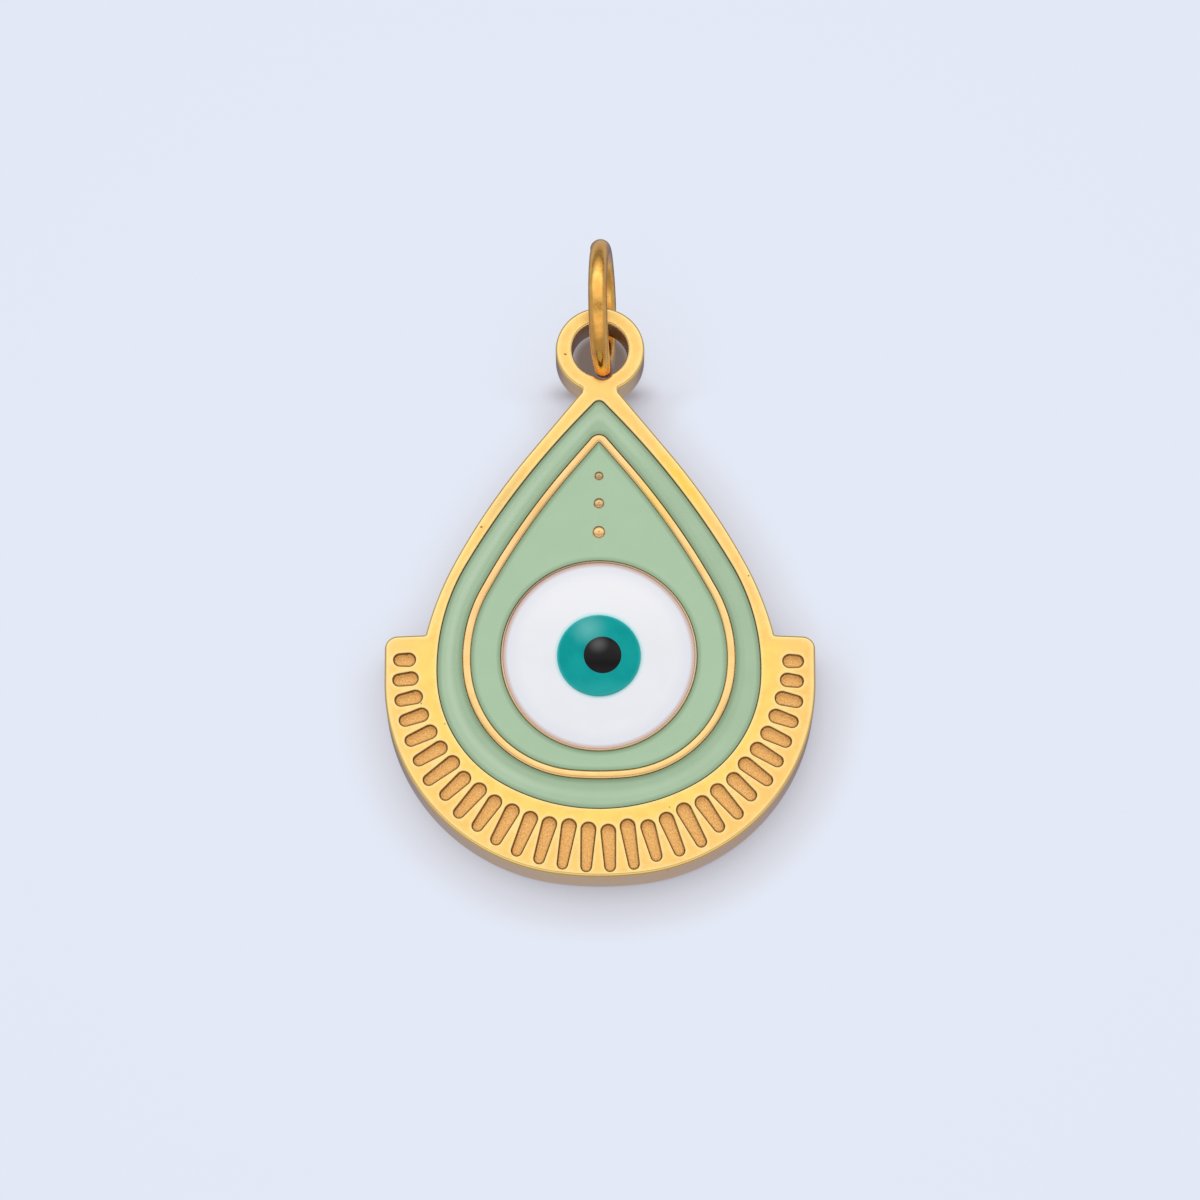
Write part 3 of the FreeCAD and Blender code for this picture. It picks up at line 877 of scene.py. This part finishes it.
def enamel_band(name, node, inner, outer, paint):
    """Enamel between two walls: dished, with a thin climbing edge and a small gap at each wall."""
    middle = np.array((PATTERN_X, 0.0))

    def reach(line, directions):
        """Where rays from the eye's middle cross a closed line."""
        away = line - middle
        angle = np.unwrap(np.arctan2(away[:, 1], away[:, 0]))
        radius = np.linalg.norm(away, axis=1)
        wanted = np.arctan2(directions[:, 1], directions[:, 0])
        wanted = (wanted - angle[0]) % (2 * math.pi) + angle[0]
        return np.interp(wanted, np.append(angle, angle[0] + 2 * math.pi),
                         np.append(radius, radius[0]))

    directions = outer - middle
    far = np.linalg.norm(directions, axis=1)
    directions /= far[:, None]
    near = reach(inner, directions)
    square_out = np.abs((outward(outer) * directions).sum(1))
    inner_points = middle + directions * near[:, None]
    square_in = np.abs((outward(inner_points) * directions).sum(1))
    width = far - near
    share = (1 - np.cos(np.linspace(0, math.pi, 27))) / 2
    to_inner = share[:, None] * (width * square_in)[None]
    to_outer = (1 - share)[:, None] * (width * square_out)[None]
    edge = np.minimum(to_inner, to_outer)
    depth = dished(edge, 0.022, 0.036, 0.13)
    flat = middle + directions[None] * (near[None] + share[:, None] * width[None])[..., None]
    places = upright(flat, depth)
    shell = Shell()
    shell.grid(places, grid_normals(places), edge=edge, across=share[:, None])
    # each side turns down into the gap: two rows of a small bevel, then the wall
    bevel_width, bevel_drop, wall_end = 0.008, 0.012, GROOVE_Y + 0.02
    tilt = np.array(((0.35, -0.9), (0.9, -0.35), (1.0, 0.0)))
    for row, side in ((0, -1), (-1, 1)):
        drop = np.repeat(places[row][None], 3, 0)
        drop[1, :, 1] += bevel_drop
        drop[2, :, 1] = wall_end
        sideways = directions * side
        drop[1:, :, ::2] += sideways * bevel_width
        normals = upright(sideways[None] * tilt[:, :1, None], tilt[:, 1:])
        shell.grid(drop, normals, across=share[row])
    return shell.piece(name, [paint], "charm", node, "green_enamel")


def disc_shell(radii, depths, x, count=160, **values):
    """Shell of rings of places round (x, 0), one for each radius and depth."""
    flat = round_points(radii[:, None], full_turn(count)) + (x, 0)
    places = upright(flat, depths[:, None])
    shell = Shell()
    shell.grid(places, grid_normals(places), **values)
    return shell


def eye_pieces(white, teal, black):
    """White disc, low iris pad and the pupil's drop, each a lathe form with a soft edge."""
    reach = EYE_RADIUS - EYE_WALL + WHITE_UNDER
    radii = reach * np.sin(np.linspace(0.001, math.pi / 2, 36))
    edge = reach - radii
    shell = disc_shell(radii, dished(edge, 0.016, 0.026, 0.15), PATTERN_X, edge=edge[:, None])
    shell.piece("eye_white_glaze", [white], "charm", "eye_white", "white_enamel")

    top = ENAMEL_Y - IRIS_HEIGHT
    soft, crown_height = 0.09, 0.03
    turns = np.linspace(0, math.pi / 2, 9)
    level_radii = np.linspace(0.002, IRIS_RADIUS - soft, 20)[:-1]
    radii = np.concatenate((level_radii, IRIS_RADIUS - soft + soft * np.sin(turns)))
    crown = crown_height * (radii / IRIS_RADIUS) ** 2
    fall = np.concatenate((0 * level_radii, soft * (1 - np.cos(turns))))
    shell = disc_shell(radii, top + crown + fall, PATTERN_X)
    shell.piece("iris_glaze", [teal], "charm", "iris", "teal_enamel")

    sphere = (PUPIL_RADIUS ** 2 + PUPIL_HEIGHT ** 2) / (2 * PUPIL_HEIGHT)
    radii = PUPIL_RADIUS * np.sin(np.linspace(0.002, math.pi / 2, 28))
    dome = top - PUPIL_HEIGHT + sphere - np.sqrt(sphere ** 2 - radii ** 2)
    settled = 0.006            # how far the drop has sunk into the iris
    pupil_x, count = PATTERN_X + PUPIL_X, 96
    shell = disc_shell(radii, dome + settled, pupil_x, count)
    skirt = [(0, top + settled, 1, 0), (-0.02, top + 0.05, 1, 0)]
    shell.sweep(circle(PUPIL_RADIUS, pupil_x, 0, count), skirt)
    shell.piece("pupil_drop", [black], "charm", "pupil", "black_enamel")


def jump_ring(wire, cut):
    """Round wire bent to a circle, with its two cut ends almost touching."""
    shell = Shell()
    gap = WIRE_GAP / RING_MEAN
    count, around = 320, 40
    run = np.linspace(0, 2 * math.pi - gap, count)
    angles = run - math.radians(RING_CUT)
    to_end = np.minimum(run, run[-1] - run) * RING_MEAN
    offset, offset_run, bevel = 0.035, 0.5, 0.03    # the cut ends are bent apart sideways
    wobble, unevenness = 0.010, 0.006
    aside = offset * np.exp(-to_end / offset_run) * np.where(run < math.pi, 1, -1)
    aside += [wobble * noise.noise(Vector((a * 1.3, 0, 5))) for a in angles]
    uneven = np.array([noise.noise(Vector((a * 4, 2, 0))) for a in angles])
    thick = WIRE_RADIUS * (1 + unevenness * uneven)
    thick -= bevel * (1 - np.sqrt(1 - np.clip(1 - to_end / bevel, 0, 1) ** 2))
    outward_y, outward_z = -np.cos(angles), -np.sin(angles)
    turns = full_turn(around)
    side, out = np.sin(turns)[None], np.cos(turns)[None]
    normals = np.stack((np.broadcast_to(side, (count, around)), outward_y[:, None] * out,
                        outward_z[:, None] * out), -1)
    middle = np.stack((aside, RING_MEAN * outward_y, RING_MEAN * outward_z), -1)
    places = middle[:, None] + normals * thick[:, None, None]

    twist = math.radians(RING_TWIST)
    turn = np.array(((math.cos(twist), math.sin(twist), 0),
                     (-math.sin(twist), math.cos(twist), 0), (0, 0, 1)))
    places, normals = places @ turn + RING_CENTRE, normals @ turn
    shell.grid(places, normals)
    way = np.stack((0 * angles, np.sin(angles), -np.cos(angles)), -1) @ turn
    for row, sign in ((0, -1), (-1, 1)):
        centre = places[row].mean(0)
        cap = np.stack([centre + (places[row] - centre) * share
                        for share in (1.0, 0.66, 0.33, 0.02)])
        shell.grid(cap, np.broadcast_to(way[row] * sign, cap.shape), finish=1)
    shell.piece("ring_wire", [wire, cut], "ring", "jump_ring", "ring_wire")


# --- stage ---
def add_camera():
    data = bpy.data.cameras.new("camera")
    data.lens, data.sensor_width = LENS, SENSOR
    data.clip_start, data.clip_end = 0.01, 10
    camera = add_object("camera", data)
    tilt = math.radians(CAMERA_ELEVATION)
    away = Vector((0, -math.cos(tilt), math.sin(tilt)))
    up = Vector((0, math.sin(tilt), math.cos(tilt)))
    target = Vector((0, FACE_Y, 0)) + up * CAMERA_RISE
    camera.location = (target + away * FIELD_WIDTH * LENS / SENSOR) * MM
    camera.rotation_mode = "QUATERNION"
    camera.rotation_quaternion = (-away).to_track_quat("-Z", "Y")
    bpy.context.scene.camera = camera


def add_key_light():
    """Large soft box in front, above left. Metal mirrors the studio and not this lamp."""
    data = bpy.data.lights.new("key", "AREA")
    data.shape = "RECTANGLE"
    data.size, data.size_y = KEY_SIZE[0] * MM, KEY_SIZE[1] * MM
    data.energy = KEY_WATTS
    data.color = KEY_COLOUR
    light = add_object("key", data)
    light.location = Vector(KEY_PLACE) * MM
    light.rotation_mode = "QUATERNION"
    light.rotation_quaternion = (Vector(KEY_AIM) * MM - light.location).to_track_quat("-Z", "Y")
    light.visible_glossy = False


def build_world():
    """Studio that lights the charm, and the paper's colour where the camera sees past the card."""
    world = bpy.data.worlds.new("studio")
    bpy.context.scene.world = world
    tree = Tree(world)
    tree.tree.nodes.clear()
    x, y, z = tree.parts(tree.add("TexCoord").outputs["Generated"])
    pitch = tree.math("ARCTAN2", z, tree.times(y, -1.0))
    place = tree.step(pitch, -math.pi, math.pi)
    stops = []
    for angle, brightness in STUDIO:
        warm = WARM_ANGLES[0] <= angle <= WARM_ANGLES[1]
        tint = COOL if abs(angle) >= COOL_FROM else WARM if warm else PLAIN
        stops.append(((angle + 180) / 360, tuple(brightness * part for part in tint)))
    ring = tree.ramp(place, *stops)
    sideways = tree.ease(tree.math("ABSOLUTE", x), 0.70, 0.98)
    light = tree.mix(sideways, ring, (*STUDIO_SIDES, 1))
    lit = tree.add("Background", {"Color": light})
    seen = tree.add("Background", {"Color": (*PAPER, 1)})
    camera_ray = tree.add("LightPath").outputs["Is Camera Ray"]
    mix = tree.add("MixShader", {"Fac": camera_ray, 1: lit.outputs[0], 2: seen.outputs[0]})
    tree.add("OutputWorld", {"Surface": mix.outputs[0]})


def card_mesh():
    """Wide sheet behind the charm that curls away behind the jump ring."""
    heights = np.concatenate(([-CARD_HALF], np.linspace(*CARD_BEND, 24), [CARD_HALF]))
    share = np.clip((heights - CARD_BEND[0]) / (CARD_BEND[1] - CARD_BEND[0]), 0, 1)
    depths = CARD_Y[0] + (CARD_Y[1] - CARD_Y[0]) * share ** 2 * (3 - 2 * share)
    places = [(x * MM, y * MM, z * MM) for y, z in zip(depths, heights)
              for x in (-CARD_HALF, CARD_HALF)]
    faces = [(2 * k, 2 * k + 1, 2 * k + 3, 2 * k + 2) for k in range(len(heights) - 1)]
    mesh = bpy.data.meshes.new("paper_card")
    mesh.from_pydata(places, [], faces)
    return mesh


def paper():
    """Paper that glows with its own colour, clear from behind and far from the middle. Its shade
    is
    painted from ambient occlusion: soft light from the front, a little from above left, that the
    charm keeps off close by."""
    material = bpy.data.materials.new("paper")
    tree = Tree(material)
    tree.tree.nodes.clear()
    tree.use_object_mm()
    faded = tree.ease(tree.distance(0, 3), *CARD_FADE)
    behind = tree.add("NewGeometry").outputs["Backfacing"]
    from_light = tree.add("CombineXYZ", enumerate(LIGHT_FROM)).outputs[0]
    near, far = SHADOW_REACH
    reach = tree.step(tree.parts(tree.where)[1], *CARD_Y, near * MM, far * MM)
    open_sky = tree.add("AmbientOcclusion", {"Distance": reach, "Normal": from_light})
    open_sky.samples = 16
    reached = open_sky.outputs["AO"]
    # painted shadows: soft dark spots laid on the paper's shade behind the hole, the loop and the
    # neck
    for x, z, core, radius, least in PAINTED_CARD_SHADOWS:
        kept = tree.ease(tree.distance(x, z), core, radius, least, 1.0)
        reached = tree.times(reached, kept)
    shown = tree.add("Emission", {"Color": tree.ramp(reached, *CARD_COLOURS)})
    clear = tree.add("BsdfTransparent")
    mix = tree.add("MixShader", {"Fac": tree.math("MAXIMUM", faded, behind),
                                 1: shown.outputs[0], 2: clear.outputs[0]})
    tree.add("OutputMaterial", {"Surface": mix.outputs[0]})
    return material


def add_card():
    """Upright sheet of paper behind the charm, seen by the camera only."""
    mesh = card_mesh()
    mesh.materials.append(paper())
    card = add_object("paper_card", mesh)
    for kind in ("diffuse", "glossy", "transmission", "shadow"):
        setattr(card, "visible_" + kind, False)


def build_charm():
    gold = polished_gold("polished_gold", pale=(1.0, 0.685, 0.215), orange=(1.0, 0.65, 0.205),
                         yellow=(1.0, 0.73, 0.19), roughness=0.22)
    line_gold = polished_gold("line_gold", pale=(1.0, 0.67, 0.31), orange=(1.0, 0.70, 0.30),
                              yellow=(1.0, 0.70, 0.30), roughness=0.27)
    # on the eye's thin wall the change from the dark left colour to the lighter right one is a
    # painted highlight
    wall_gold = polished_gold("rose_gold", pale=(0.46, 0.31, 0.23), orange=(0.80, 0.56, 0.36),
                              yellow=(0.80, 0.56, 0.36), roughness=0.26)
    # painted shade for the cell's gap and the slots' walls
    seam_shade = dark_metal("painted_shade_seam", (0.29, 0.165, 0.05), metallic=0.25)
    # painted shade for the inner wall of the loop's hole
    shade = dark_metal("painted_shade_wall", (0.36, 0.20, 0.06), metallic=0.6)
    slots, cell = casting(gold, seam_shade, shade)
    slot_floors(slots, sandblasted_bronze())
    ridge = mirrored(resampled(teardrop_right(*RIDGE)), PATTERN_X)
    raised_lines(line_gold, wall_gold, ridge)

    gap = RIDGE_HALF - RIDGE_TAPER + ENAMEL_GAP
    sides = outward(ridge)
    outer_paint = green_enamel("outer_green", (0.375, 0.545, 0.365), (0.43, 0.60, 0.42),
                               painted_highlight=0.45)
    inner_paint = green_enamel("inner_green", (0.40, 0.585, 0.395), (0.43, 0.62, 0.42))
    outer_glaze = enamel_band("outer_glaze", "outer_enamel", ridge + sides * gap,
                              cell - outward(cell) * ENAMEL_GAP, outer_paint)
    outer_glaze.visible_glossy = False              # or the ring's lower end would turn green
    wall = circle(EYE_RADIUS + EYE_WALL + EYE_GAP, PATTERN_X, 0, 900)
    enamel_band("inner_glaze", "inner_enamel", wall, ridge - sides * gap, inner_paint)
    eye_pieces(white_enamel(), teal_enamel(), black_enamel())
    jump_ring(ring_gold(), dark_metal("cut_ends", (0.45, 0.38, 0.30), metallic=0.8))


add_camera()
build_world()
add_card()
add_key_light()
build_charm()

bpy.context.scene.view_settings.view_transform = "Standard"
